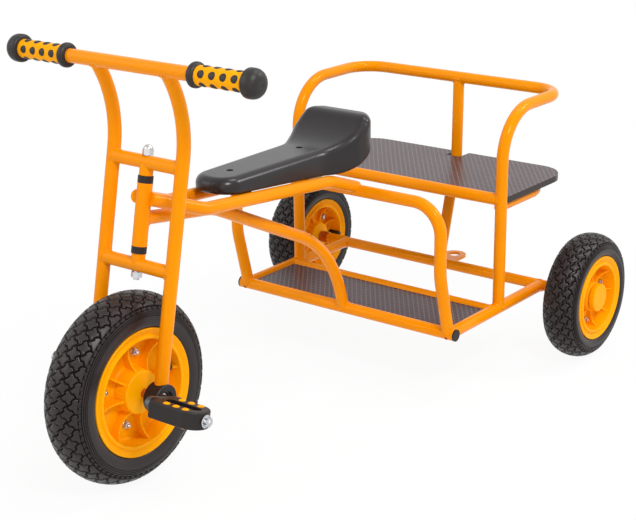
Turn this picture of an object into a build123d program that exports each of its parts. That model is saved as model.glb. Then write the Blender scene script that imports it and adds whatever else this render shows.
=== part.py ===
from build123d import *
import math
import os

# Two-seat pedal tricycle: a child rides on the saddle and turns the front wheel,
# a passenger sits on the bench behind and stands on the low step.
# Millimetres; +X forward, +Y to the rider's left, +Z up; origin on the floor under the middle.

os.makedirs("parts", exist_ok=True)

# Stance
WHEELBASE = 921.0
FRONT_TYRE_R = 160.0
FRONT_TYRE_W = 85.0
REAR_TYRE_R = 122.0
REAR_TYRE_W = 71.0
REAR_TRACK = 674.0
RAKE = 11.35                 # degrees that the steering axis leans back

# Stock and fits
TUBE = 22.5                  # frame and fork tube
WELD = 0.06                  # gap left at a coped joint
RUN = 0.05                   # radial running clearance
SEAT = 0.3                   # clearance between seated round pieces

# Fork; its heights run up the steering axis from the front axle
BLADE_Y = 74.5
TYRE_TO_BAR = 42.0           # front tyre's crown to the lower cross bar
BAR_TO_HEAD = 30.5           # lower cross bar to the head tube
HEAD_L = 101.5
HEAD_TO_BAR = 33.0           # head tube to the upper cross bar
HEAD_TUBE = 25.0
BUSH_H = 11.5
BLADE_STRAIGHT = 13.0        # upper cross bar to where the blades begin to curve forward
BLADE_BEND_R = 190.0
BLADE_RISE = 138.0           # height of the curved top of a blade
BAR_TUBE = 23.0
BAR_HALF = 255.0
BOLT = 10.0
BOLT_TAIL = 4.0              # thread showing below the lower nut
NUT_FLATS = 16.0
NUT_H = 9.0

# Grips
GRIP_START = 130.0
FLANGE_W = 14.0
FLANGE_D = 40.0
SLEEVE_L = 92.0
SLEEVE_D = 31.0
CAP_W = 27.0
CAP_D = 46.0
FLANGE_ROUND = 6.0
CAP_ROUND = 16.0
CAP_HEEL = 5.0

# Front axle, cranks and pedals
AXLE = 15.0
HOUSING_D = 50.0
HOUSING_W = 28.0
HOUSING_EDGE = 1.5
HOUSING_RECESS = 8.0         # bearing's depth below the housing's outer face
HOUSING_BORE = 19.0
BEARING_D = 30.0
BEARING_W = 9.0
CRANK_Y = 106.0              # inner face of the crank arm
CRANK_T = 9.0
CRANK_R = 60.0
CRANK_ANGLE = 20.0           # the left crank stands this far above level
CRANK_EYE = 22.0
SPINDLE = 10.0
SPINDLE_NUT = 14.0
SPINDLE_NUT_H = 7.0
SPINDLE_HEEL = 4.0           # spindle showing inside the crank
PEDAL_GAP = 3.0              # crank to the pedal's boss
PEDAL_BOSS_D = 22.0
PEDAL_BOSS_L = 12.0
PEDAL_L = 92.0               # tread body beyond the boss
PEDAL_W = 54.0
PEDAL_H = 28.0
PEDAL_EDGE = 3.0
PEDAL_SLOT_W = 16.0
PEDAL_SLOT_END = 12.0        # tread body left at each end of the slot
PEDAL_TILT = 12.0

# Platform frame, level with the rear axles
DECK_FRONT_X = -147.0
DECK_REAR_X = -295.0
RAIL_Y = 240.0
RAIL_OVERHANG = 12.0         # front rail beyond the side rails
PLUG_T = 3.0
BEAM_D = 21.5
BOARD_T = 12.0
STEP_RISE = 5.0              # step board's top above the rails' middle

# Hoop in front of the platform
HOOP_X = -117.0
HOOP_Z = 370.0
HOOP_INSET = 3.0
HOOP_KNEE_Z = 240.0
HOOP_CORNER_R = 57.0
HOOP_KNEE_R = 130.0

# Bench
POST_X = -317.0
BACK_X = -542.0
BACK_Z = 501.0
POST_BEND_R = 92.0
BACK_CORNER_R = 60.0
POST_KNEE_X = -539.0         # the centre post straightens here, at the bench rail's height
POST_KNEE_R = 80.0
BENCH_RAIL_Z = 335.0
BENCH_RISE = 5.5             # bench board's top above the rail's middle
BENCH_OVERHANG = 8.0         # bench board beyond the side rails
BENCH_REAR_X = -562.0
BENCH_CORNER_R = 60.0
NOTCH_W = 32.0
NOTCH_D = 38.0
LOOP_D = 18.0
LOOP_INSET = 14.0
LOOP_TO_NOTCH = 14.0

# Spine and saddle rails
SPINE = [(217.0, 407.6, 120.0), (-106.0, 254.5, 230.0)]      # x, z, bend radius
SPINE_UP = 44.0              # up the head tube
RAIL_UP = 77.6
RAIL_HEAD_Y = 14.8
RAIL_BEND = (283.0, 42.0, 429.0)
RAIL_KNEE = (-42.0, 50.0, 403.0)
RAIL_BEND_R = 60.0
RAIL_KNEE_R = 110.0
RAIL_END_OUT = 2.0           # rail's end on the hoop, outside its knee
RAIL_END_UP = 6.0            # rail's end above the hoop's middle

# Saddle, and the plates between the rails that it is bolted to
SADDLE_BOLT_X = (172.0, -17.0)
SADDLE_PLATE_T = 4.0
SADDLE_PLATE_L = 34.0
SADDLE_PLATE_DROP = 3.0      # plate's top below the rails' top
SADDLE_TOP_Z = 463.0
SADDLE_NOSE_X = 234.0
SADDLE_BACK_X = -160.0
SADDLE_PLAN = [              # nose, waist, hip, hip, back: x, half width, corner radius
    (SADDLE_NOSE_X, 44.0, 40.0), (-25.0, 50.0, 110.0), (-100.0, 76.0, 50.0), (-132.0, 76.0, 45.0),
    (SADDLE_BACK_X, 51.0, 28.0)]
SADDLE_DISH_X = -24.0        # the flat top begins to rise here
SADDLE_DISH_R = 129.0
SADDLE_LIP_R = 24.0
SADDLE_LIP_X = -134.0        # the lip is level behind this
SADDLE_EDGE_R = 16.0
SADDLE_UNDER_R = 6.0
SADDLE_HEEL_X = -45.0        # the underside begins to rise here
SADDLE_HEEL_R = 125.0
SADDLE_WALL = 7.0
SADDLE_BOSS_D = 26.0
SADDLE_RECESS_D = 12.0
SADDLE_RECESS = 4.0

# Tow plate
TOW_T = 5.0
TOW_W = 48.0
TOW_HOLE = 24.0
TOW_X = -538.0

# Tyre section: share of its height above the flange, share of its half width
TYRE_SECTION = [(0.0, 1.0), (0.4, 1.0), (0.78, 0.74), (1.0, 0.24)]

# Rims: section shared by the front and rear wheels
BEAD_DROP = 12.0             # tyre bead below the flange's edge
FLANGE_T = 6.0
RIM_WALL = 5.0
LIP_W = 5.0
LIP_GROOVE = 4.0
LIP_DROP = 1.0               # inner lip below the flange
TYRE_BULGE = 1.6             # tyre beyond the flange on each side
RIB_T = 3.2
RIB_LIP_DROP = 6.0           # rib's ends below the lip and below the hub's face
RIB_SAG = 20.0               # rib's middle below the lip
HUB_BOSS = 4.0
HUB_CONE = 3.0

# Wheels and rear stub axles
FRONT_FLANGE_R = 107.0
FRONT_HUB_R = 36.0
FRONT_HUB_HALF = 40.0
FRONT_FLOOR = 7.0            # pocket floor from the wheel's middle plane
FRONT_RIBS = 8
FRONT_RIB_TURN = 80.5        # degrees
REAR_FLANGE_R = 82.0
REAR_HUB_R = 28.0
REAR_HUB_HALF = 30.0
REAR_HUB_OUT = 24.0
REAR_FLOOR = 5.0
REAR_RIBS = 9
REAR_RIB_TURN = 61.0
HUB_CAP_D = 54.0
HUB_CAP_T = 10.0
HUB_CAP_ROUND = 3.0
COLLAR_D = 24.0
COLLAR_L = 19.6
STUB = 12.0
STUB_END = 2.0               # stub beyond the hub, inside the cap

LENGTH = WHEELBASE + FRONT_TYRE_R + REAR_TYRE_R
FRONT_X = LENGTH / 2 - FRONT_TYRE_R
REAR_X = -LENGTH / 2 + REAR_TYRE_R
SIN, COS = math.sin(math.radians(RAKE)), math.cos(math.radians(RAKE))
AXLE_C = Vector(FRONT_X, 0, FRONT_TYRE_R)
DECK_Z = REAR_TYRE_R
STEP_TOP_Z = DECK_Z + STEP_RISE
DECK_HALF = RAIL_Y + RAIL_OVERHANG
HOOP_Y = RAIL_Y - HOOP_INSET
BENCH_TOP_Z = BENCH_RAIL_Z + BENCH_RISE
BENCH_HALF = RAIL_Y + BENCH_OVERHANG
HUB_Y = REAR_TRACK / 2
BEAM_HALF = HUB_Y - REAR_HUB_HALF - SEAT - COLLAR_L
LOWER_BAR_S = FRONT_TYRE_R + TYRE_TO_BAR
HEAD_BOTTOM_S = LOWER_BAR_S + BAR_TO_HEAD
HEAD_TOP_S = HEAD_BOTTOM_S + HEAD_L
UPPER_BAR_S = HEAD_TOP_S + HEAD_TO_BAR
BLADE_BEND_S = UPPER_BAR_S + BLADE_STRAIGHT
BAR_S = BLADE_BEND_S + BLADE_RISE
PEDAL_IN = CRANK_Y + CRANK_T + PEDAL_GAP
PEDAL_BODY = PEDAL_IN + PEDAL_BOSS_L
PEDAL_OUT = PEDAL_BODY + PEDAL_L
PEDAL_BORE = SPINDLE + 2 * RUN
# Fork frame: x forward, y left, z up the steering axis, from the front axle
FORK = Plane(origin=AXLE_C, x_dir=(COS, 0, SIN), z_dir=(-SIN, 0, COS))
BAR_FORWARD = BLADE_BEND_R - math.sqrt(BLADE_BEND_R ** 2 - BLADE_RISE ** 2)

parts = {}


def bent_path(points, radii):
    """Straight runs joined by tangent arcs of the given radii."""
    pts = [Vector(*p) for p in points]
    edges, last = [], pts[0]
    for corner, before, after, r in zip(pts[1:-1], pts[:-2], pts[2:], radii):
        back, on = (before - corner).normalized(), (after - corner).normalized()
        half = math.radians(back.get_angle(on)) / 2
        run = r / math.tan(half)
        a, b = corner + back * run, corner + on * run
        mid = corner + (back + on).normalized() * (r / math.sin(half) - r)
        edges += [Line(last, a), ThreePointArc(a, mid, b)]
        last = b
    edges.append(Line(last, pts[-1]))
    return Wire([e.edge() for e in edges])


def rod(path, d):
    """Round bar of diameter d along a wire or edge."""
    return sweep(Plane(origin=path @ 0, z_dir=path % 0) * Circle(d / 2), path=path)


def straight(a, b, d):
    return rod(Wire([Line(a, b).edge()]), d)


def across(x, z, half, d):
    """Round bar along Y."""
    return straight((x, -half, z), (x, half, z), d)


def ring(plane, d_out, d_in, h):
    """Ring standing on a plane."""
    return plane * extrude(Circle(d_out / 2) - Circle(d_in / 2), h)


def solid_of(shape):
    """The largest solid, where a cope leaves crumbs."""
    return max(shape.solids(), key=lambda s: s.volume)


def along_y(y, x=0.0, z=0.0, sign=1):
    """Plane square to Y, looking out along sign * Y."""
    return Plane(origin=(x, y, z), x_dir=(sign, 0, 0), z_dir=(0, sign, 0))


# Platform: front rail with plugged ends, two side rails to the axle beam, rear bar
front_rail = across(DECK_FRONT_X, DECK_Z, DECK_HALF, TUBE)
front_rail_cut = across(DECK_FRONT_X, DECK_Z, DECK_HALF + 20, TUBE + 2 * WELD)
beam = across(REAR_X, DECK_Z, BEAM_HALF, BEAM_D)
beam_cut = across(REAR_X, DECK_Z, BEAM_HALF + 20, BEAM_D + 2 * WELD)
parts["deck_front_rail"] = front_rail
parts["rear_axle_beam"] = beam
plug = across(DECK_FRONT_X, DECK_Z, PLUG_T / 2, TUBE)
parts["rail_plugs"] = Compound(children=[
    Pos(0, s * (DECK_HALF + WELD + PLUG_T / 2), 0) * plug for s in (1, -1)])
side_cut = {}
for side, s in (("left", 1), ("right", -1)):
    ends = (DECK_FRONT_X, s * RAIL_Y, DECK_Z), (REAR_X, s * RAIL_Y, DECK_Z)
    side_cut[side] = straight(*ends, TUBE + 2 * WELD)
    parts[f"deck_side_rail_{side}"] = solid_of(straight(*ends, TUBE) - front_rail_cut - beam_cut)
both_sides_cut = side_cut["left"] + side_cut["right"]
parts["deck_rear_bar"] = solid_of(across(DECK_REAR_X, DECK_Z, RAIL_Y, TUBE) - both_sides_cut)

# Step board between the rails
STEP_EDGE = TUBE / 2 + SEAT
step_l = DECK_FRONT_X - DECK_REAR_X - 2 * STEP_EDGE
step_w = 2 * (RAIL_Y - STEP_EDGE)
step_x = (DECK_FRONT_X + DECK_REAR_X) / 2
parts["step_board"] = Pos(step_x, 0, STEP_TOP_Z - BOARD_T / 2) * Box(step_l, step_w, BOARD_T)

# Hoop: two knees, two corners
hoop_pts = [(DECK_FRONT_X, HOOP_Y, DECK_Z), (HOOP_X, HOOP_Y, HOOP_KNEE_Z), (HOOP_X, HOOP_Y, HOOP_Z)]
hoop_path = bent_path(hoop_pts + [(x, -y, z) for x, y, z in reversed(hoop_pts)],
                      [HOOP_KNEE_R, HOOP_CORNER_R, HOOP_CORNER_R, HOOP_KNEE_R])
hoop_cut = rod(hoop_path, TUBE + 2 * WELD)
parts["front_hoop"] = solid_of(rod(hoop_path, TUBE) - front_rail_cut - both_sides_cut)

# Back hoop: post, arm, back rail, arm, post
back_pts = [(POST_X, RAIL_Y, DECK_Z), (POST_X, RAIL_Y, BACK_Z), (BACK_X, RAIL_Y, BACK_Z)]
back_path = bent_path(back_pts + [(x, -y, z) for x, y, z in reversed(back_pts)],
                      [POST_BEND_R, BACK_CORNER_R, BACK_CORNER_R, POST_BEND_R])
back_cut = rod(back_path, TUBE + 2 * WELD)
parts["back_hoop"] = solid_of(rod(back_path, TUBE) - both_sides_cut)

# Centre post from the axle beam through the bench to the back rail
post_pts = [(REAR_X, 0, DECK_Z), (POST_KNEE_X, 0, BENCH_RAIL_Z), (BACK_X, 0, BACK_Z)]
post_path = bent_path(post_pts, [POST_KNEE_R])
post_cut = rod(post_path, TUBE + 2 * WELD)
parts["centre_post"] = solid_of(rod(post_path, TUBE) - beam_cut - back_cut)

# Bench: front rail, support loop and board
parts["bench_front_rail"] = solid_of(across(POST_X, BENCH_RAIL_Z, RAIL_Y, TUBE) - back_cut)
loop_z = BENCH_TOP_Z - BOARD_T - SEAT - LOOP_D / 2
loop_y = BENCH_HALF - LOOP_INSET
loop_x = BENCH_REAR_X + NOTCH_D + LOOP_TO_NOTCH + LOOP_D / 2
loop_pts = [(POST_X, loop_y, loop_z), (loop_x, loop_y, loop_z)]
loop_path = bent_path(loop_pts + [(x, -y, z) for x, y, z in reversed(loop_pts)],
                      [BENCH_CORNER_R, BENCH_CORNER_R])
bench_rail_cut = across(POST_X, BENCH_RAIL_Z, RAIL_Y, TUBE + 2 * WELD)
parts["bench_support_loop"] = solid_of(rod(loop_path, LOOP_D) - back_cut - bench_rail_cut)
board_front = POST_X - TUBE / 2 - SEAT
board = Rectangle(board_front - BENCH_REAR_X, 2 * BENCH_HALF)
board = Pos((board_front + BENCH_REAR_X) / 2, 0) * board
board = fillet(board.vertices().sort_by(Axis.X)[:2], BENCH_CORNER_R)
board -= Pos(BENCH_REAR_X, 0) * Rectangle(2 * NOTCH_D, NOTCH_W)
board = Plane.XY.offset(BENCH_TOP_Z - BOARD_T) * extrude(board, BOARD_T)
parts["bench_board"] = solid_of(board - back_cut - post_cut)

# Tow plate behind the axle beam
tow = Pos((REAR_X + TOW_X) / 2, 0) * Rectangle(REAR_X - TOW_X, TOW_W) + Pos(TOW_X, 0) * Circle(TOW_W / 2)
tow -= Pos(TOW_X, 0) * Circle(TOW_HOLE / 2)
tow = Plane.XY.offset(DECK_Z - TOW_T / 2) * extrude(tow, TOW_T)
parts["tow_plate"] = solid_of(tow - beam_cut - post_cut)

# Head tube with its bushes
head = ring(FORK.offset(HEAD_BOTTOM_S), HEAD_TUBE, BOLT + 2 * RUN, HEAD_TOP_S - HEAD_BOTTOM_S)
head_cut = FORK.offset(HEAD_BOTTOM_S) * extrude(Circle(HEAD_TUBE / 2 + WELD), HEAD_TOP_S - HEAD_BOTTOM_S)
parts["head_tube"] = head
parts["steering_bushes"] = Compound(children=[
    ring(FORK.offset(s), HEAD_TUBE, BOLT + 2 * RUN, BUSH_H) for s in (HEAD_BOTTOM_S - BUSH_H, HEAD_TOP_S)])

# Spine from the head tube down to the platform's front rail
spine_head = tuple(FORK.from_local_coords(Vector(0, 0, HEAD_BOTTOM_S + SPINE_UP)))
spine_path = bent_path([spine_head] + [(x, 0, z) for x, z, r in SPINE] + [(DECK_FRONT_X, 0, DECK_Z)],
                       [r for x, z, r in SPINE])
parts["main_tube"] = solid_of(rod(spine_path, TUBE) - head_cut - front_rail_cut)

# Saddle rails from the head tube to the hoop's top bar
rail_head = tuple(FORK.from_local_coords(Vector(0, RAIL_HEAD_Y, HEAD_BOTTOM_S + RAIL_UP)))
rail_end = (HOOP_X, RAIL_KNEE[1] + RAIL_END_OUT, HOOP_Z + RAIL_END_UP)
for side, s in (("left", 1), ("right", -1)):
    pts = [(x, s * y, z) for x, y, z in (rail_head, RAIL_BEND, RAIL_KNEE, rail_end)]
    rail_path = bent_path(pts, [RAIL_BEND_R, RAIL_KNEE_R])
    parts[f"saddle_rail_{side}"] = solid_of(rod(rail_path, TUBE) - head_cut - hoop_cut)

# Two plates between the rails carry the saddle's bolts
rail_fall = (RAIL_BEND[2] - RAIL_KNEE[2]) / (RAIL_BEND[0] - RAIL_KNEE[0])


def rail_top(x):
    """Height of the saddle rails' top at x."""
    return RAIL_BEND[2] + (x - RAIL_BEND[0]) * rail_fall + TUBE / 2 * math.hypot(1, rail_fall)


plates = []
for x in SADDLE_BOLT_X:
    plate_z = rail_top(x) - SADDLE_PLATE_DROP
    bed = Plane(origin=(x, 0, plate_z), x_dir=(1, 0, rail_fall), z_dir=(-rail_fall, 0, 1)).location
    plate_w = RAIL_BEND[1] + RAIL_KNEE[1]
    plate = bed * Pos(0, 0, -SADDLE_PLATE_T / 2) * Box(SADDLE_PLATE_L, plate_w, SADDLE_PLATE_T)
    for s in (1, -1):
        run = Line(*[(px, s * py, pz) for px, py, pz in (RAIL_BEND, RAIL_KNEE)])
        plate -= rod(run, TUBE + 2 * WELD)
    plates.append(solid_of(plate))
parts["saddle_plates"] = Compound(children=plates)


def saddle_form(inset):
    """Plan crossed with side profile: the saddle's outside, or its hollow where inset is the wall."""
    half_plan = [(x, y) for x, y, r in SADDLE_PLAN]
    plan = make_face(Polyline(*half_plan, *[(x, -y) for x, y in reversed(half_plan)], close=True).edges())
    for x, y, r in SADDLE_PLAN:
        plan = fillet([v for v in plan.vertices() if abs(v.X - x) < 0.1 and abs(abs(v.Y) - y) < 0.1], r)
    if inset:
        plan = offset(plan, -inset)
    # profile: level seat, hollow dish, lip that turns level again, short back, rising underside
    top, dish_r, lip_r = SADDLE_TOP_Z - inset, SADDLE_DISH_R + inset, SADDLE_LIP_R - inset
    slope = math.asin((SADDLE_DISH_X - SADDLE_LIP_X) / (dish_r + lip_r))
    dish = [(SADDLE_DISH_X - dish_r * math.sin(t), top + dish_r * (1 - math.cos(t)))
            for t in (0, slope / 2, slope)]
    lip_z = dish[2][1] + lip_r * (1 - math.cos(slope))
    lip = [(SADDLE_LIP_X + lip_r * math.sin(t), lip_z - lip_r * (1 - math.cos(t)))
           for t in (slope, slope / 2, 0)]
    front, back = SADDLE_NOSE_X + SADDLE_WALL, SADDLE_BACK_X - SADDLE_WALL
    front_z = rail_top(front) + SEAT
    tilt = math.atan(rail_fall)
    heel_c = Vector(SADDLE_HEEL_X, rail_top(SADDLE_HEEL_X) + SEAT) + Vector(0, SADDLE_HEEL_R).rotate(
        Axis.Z, math.degrees(tilt))
    rise = math.asin((heel_c.X - back) / SADDLE_HEEL_R)
    heel = [(heel_c.X - SADDLE_HEEL_R * math.sin(t), heel_c.Y - SADDLE_HEEL_R * math.cos(t))
            for t in (rise, (rise - tilt) / 2, -tilt)]
    runs = [Line((front, front_z), (front, top)), Line((front, top), dish[0]), ThreePointArc(*dish),
            ThreePointArc(*lip), Line(lip[2], (back, lip_z)), Line((back, lip_z), heel[0]),
            ThreePointArc(*heel), Line(heel[2], (front, front_z))]
    profile = extrude(Plane.XZ * make_face([run.edge() for run in runs]), 2 * SADDLE_PLAN[2][1], both=True)
    return solid_of(extrude(plan, 2 * SADDLE_TOP_Z) & profile)


def loop_of(body, sign):
    """Edges round the body's upper faces, or round its lower ones where sign is -1."""
    faces = [f for f in body.faces() if sign * f.normal_at(f.center()).Z > 0.3]
    return [e for e in body.edges() if sum(any(e.is_same(x) for x in f.edges()) for f in faces) == 1]


# Saddle: hollow moulding with rolled edges, bolt bosses inside and bolt recesses on top
saddle = saddle_form(0)
saddle = fillet(loop_of(saddle, 1), SADDLE_EDGE_R)
saddle = fillet(loop_of(saddle, -1), SADDLE_UNDER_R)
hollow = saddle_form(SADDLE_WALL)
saddle = saddle - (hollow + Pos(0, 0, -TUBE) * hollow)
for x in SADDLE_BOLT_X:
    foot = rail_top(x) - SADDLE_PLATE_DROP + rail_fall * SADDLE_BOSS_D / 2 + WELD
    saddle += Pos(x, 0, foot) * extrude(Circle(SADDLE_BOSS_D / 2), SADDLE_TOP_Z - SADDLE_WALL / 2 - foot)
    saddle -= Pos(x, 0, SADDLE_TOP_Z - SADDLE_RECESS) * extrude(Circle(SADDLE_RECESS_D / 2), TUBE)
parts["saddle"] = solid_of(saddle)

# Fork blades, handlebar and cross bars, in the fork frame
bar_path = Wire([Line((BAR_FORWARD, -BAR_HALF, BAR_S), (BAR_FORWARD, BAR_HALF, BAR_S)).edge()])
bar = rod(bar_path, BAR_TUBE)
bar_cut = rod(bar_path, BAR_TUBE + 2 * WELD)
parts["handlebar"] = FORK * bar
turn = math.asin(BLADE_RISE / BLADE_BEND_R)
blade_cut = {}
for side, s in (("left", 1), ("right", -1)):
    y = s * BLADE_Y
    arc = [(BLADE_BEND_R * (1 - math.cos(t)), y, BLADE_BEND_S + BLADE_BEND_R * math.sin(t))
           for t in (0, turn / 2, turn)]
    path = Wire([Line((0, y, 0), arc[0]).edge(), ThreePointArc(*arc).edge()])
    house = along_y(y - s * HOUSING_W, sign=s) * extrude(Circle(HOUSING_D / 2 + WELD), 2 * HOUSING_W)
    blade_cut[side] = rod(path, TUBE + 2 * WELD)
    parts[f"fork_blade_{side}"] = FORK * solid_of(rod(path, TUBE) - bar_cut - house)
blades_cut = blade_cut["left"] + blade_cut["right"]
bush_ends = HEAD_TOP_S + BUSH_H + SEAT, HEAD_BOTTOM_S - BUSH_H - SEAT
for name, s, stub_to in (("upper", UPPER_BAR_S, bush_ends[0]), ("lower", LOWER_BAR_S, bush_ends[1])):
    cross = straight((0, -BLADE_Y, s), (0, BLADE_Y, s), TUBE) - blades_cut
    cross = solid_of(cross) + straight((0, 0, s), (0, 0, stub_to), TUBE)
    cross -= straight((0, 0, s - TUBE), (0, 0, s + TUBE), BOLT + 2 * RUN)
    parts[f"{name}_crossbar"] = FORK * solid_of(cross)
nut = extrude(RegularPolygon(NUT_FLATS / 2, 6, major_radius=False), NUT_H)
nut_up, nut_low = UPPER_BAR_S + TUBE / 2 + WELD, LOWER_BAR_S - TUBE / 2 - WELD - NUT_H
bolt = straight((0, 0, nut_low - BOLT_TAIL), (0, 0, nut_up + NUT_H), BOLT)
bolt += Pos(0, 0, nut_up) * nut + Pos(0, 0, nut_low) * nut
dome = Sphere(NUT_FLATS / 2) & Pos(0, 0, NUT_FLATS / 2) * Box(2 * NUT_FLATS, 2 * NUT_FLATS, NUT_FLATS)
bolt += Pos(0, 0, nut_up + NUT_H) * dome
parts["steering_bolt"] = FORK * solid_of(bolt)

# Grips: flange, sleeve and mushroom cap on each end of the bar
sleeves, ends = [], []
for s in (1, -1):
    at = FORK * Plane(origin=(BAR_FORWARD, 0, BAR_S), x_dir=(s, 0, 0), z_dir=(0, s, 0)).location
    bore = BAR_TUBE + 2 * WELD
    flange = extrude(Circle(FLANGE_D / 2) - Circle(bore / 2), FLANGE_W)
    flange = fillet(flange.edges().filter_by(GeomType.CIRCLE).group_by(SortBy.RADIUS)[-1], FLANGE_ROUND)
    sleeve = extrude(Circle(SLEEVE_D / 2) - Circle(bore / 2), SLEEVE_L)
    cap = extrude(Circle(CAP_D / 2), CAP_W)
    cap = fillet(cap.edges().sort_by(Axis.Z)[-1], CAP_ROUND)
    cap = fillet(cap.edges().filter_by(GeomType.CIRCLE).sort_by(Axis.Z)[0], CAP_HEEL)
    reach = BAR_HALF - GRIP_START - FLANGE_W - SLEEVE_L
    cap -= extrude(Circle(bore / 2), reach + WELD)
    cap_at = GRIP_START + FLANGE_W + SLEEVE_L + 2 * WELD
    ends += [at * Pos(0, 0, GRIP_START) * flange, at * Pos(0, 0, cap_at) * cap]
    sleeves.append(at * Pos(0, 0, GRIP_START + FLANGE_W + WELD) * sleeve)
parts["grip_sleeves"] = Compound(children=sleeves)
parts["grip_ends"] = Compound(children=ends)

# Bearing housings at the blade feet, each with its bearing
houses, bearings = [], []
for s in (1, -1):
    at = FORK * along_y(s * (BLADE_Y - HOUSING_W / 2), sign=s).location
    body = extrude(Circle(HOUSING_D / 2), HOUSING_W)
    body = chamfer(body.edges().filter_by(GeomType.CIRCLE), HOUSING_EDGE)
    floor = HOUSING_W - HOUSING_RECESS - BEARING_W
    body -= Pos(0, 0, floor) * extrude(Circle(BEARING_D / 2), HOUSING_W)
    body -= extrude(Circle(HOUSING_BORE / 2), HOUSING_W)
    houses.append(at * body)
    bearing = extrude(Circle(BEARING_D / 2 - WELD) - Circle(AXLE / 2 + RUN), BEARING_W)
    bearings.append(at * Pos(0, 0, floor + WELD) * bearing)
parts["bearing_housings"] = Compound(children=houses)
parts["fork_bearings"] = Compound(children=bearings)


def eased_face(corners):
    """Closed outline from a table of x, y, chamfer at the corner."""
    face = make_face(Polyline(*[(x, y) for x, y, c in corners], close=True).edges())
    for x, y, c in corners:
        if c:
            face = chamfer([v for v in face.vertices() if abs(v.X - x) < 0.01 and abs(v.Y - y) < 0.01], c)
    return face


def wheel(tyre_r, tyre_w, flange_r, hub_r, bore_r, hub_out, hub_in, floor, ribs, turn):
    """Tyre and ribbed rim about Y, centred on the origin; hub_out is the +Y end of the hub."""
    half, flange_y = tyre_w / 2, tyre_w / 2 - TYRE_BULGE
    seat, bead = flange_y - FLANGE_T, flange_r - BEAD_DROP
    foot, rise = flange_r + SEAT, tyre_r - flange_r - SEAT
    side = [(bead, seat), (foot, seat)] + [(foot + rise * up, half * out) for up, out in TYRE_SECTION]
    tyre = make_face(Polyline(*side, *[(r, -y) for r, y in reversed(side)], close=True).edges())
    barrel = bead - SEAT
    wall = barrel - RIM_WALL
    lip = flange_y - LIP_DROP
    boss = bore_r + HUB_BOSS
    outline = []
    for s, hub in ((1, hub_out), (-1, hub_in)):
        face = min(hub, lip) - HUB_CONE
        # from the bore out to the tyre's seat: radius, distance from the middle plane, chamfer
        half_rim = [
            (bore_r, hub, 0), (boss, hub, 1), (hub_r, face - 1, 1.5),
            (hub_r + 3, floor, 3), (wall - 3, floor, 3), (wall - 1, lip, 1.2), (wall - 1 + LIP_W, lip, 1.2),
            (wall + 1 + LIP_W, lip - LIP_GROOVE, 1), (flange_r - 2, flange_y, 0), (flange_r, flange_y, 1),
            (flange_r, seat + SEAT, 0), (barrel, seat + SEAT, 0)]
        half_rim = [(r, s * y, c) for r, y, c in half_rim]
        outline += half_rim if s > 0 else half_rim[::-1]
    rim = revolve(eased_face(outline), Axis.Y)
    # ribs with scooped tops: straight bars cut to a revolved outline
    inner = hub_r + 0.5, min(hub_out, hub_in, lip) - HUB_CONE - RIB_LIP_DROP
    outer = wall - 0.5, lip - RIB_LIP_DROP
    low = ((hub_r + wall) / 2, lip - RIB_SAG)
    upper = ThreePointArc(inner, low, outer)
    lower = ThreePointArc(*[(r, -y) for r, y in (inner, low, outer)])
    ends = [Line(upper @ t, lower @ t) for t in (0, 1)]
    scoop = revolve(make_face([run.edge() for run in (upper, lower, *ends)]), Axis.Y)
    for n in range(ribs):
        rim += scoop & Rot(0, -turn - n * 360 / ribs, 0) * Pos(wall / 2, 0, 0) * Box(wall, tyre_w, RIB_T)
    return revolve(tyre, Axis.Y), solid_of(rim)


front_tyre, front_rim = wheel(FRONT_TYRE_R, FRONT_TYRE_W, FRONT_FLANGE_R, FRONT_HUB_R, AXLE / 2 + WELD,
                              FRONT_HUB_HALF, FRONT_HUB_HALF, FRONT_FLOOR, FRONT_RIBS, FRONT_RIB_TURN)
parts["front_tyre"] = Pos(AXLE_C) * front_tyre
parts["front_rim"] = Pos(AXLE_C) * front_rim
parts["front_axle"] = Pos(AXLE_C) * across(0, 0, CRANK_Y + CRANK_T, AXLE)

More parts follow.
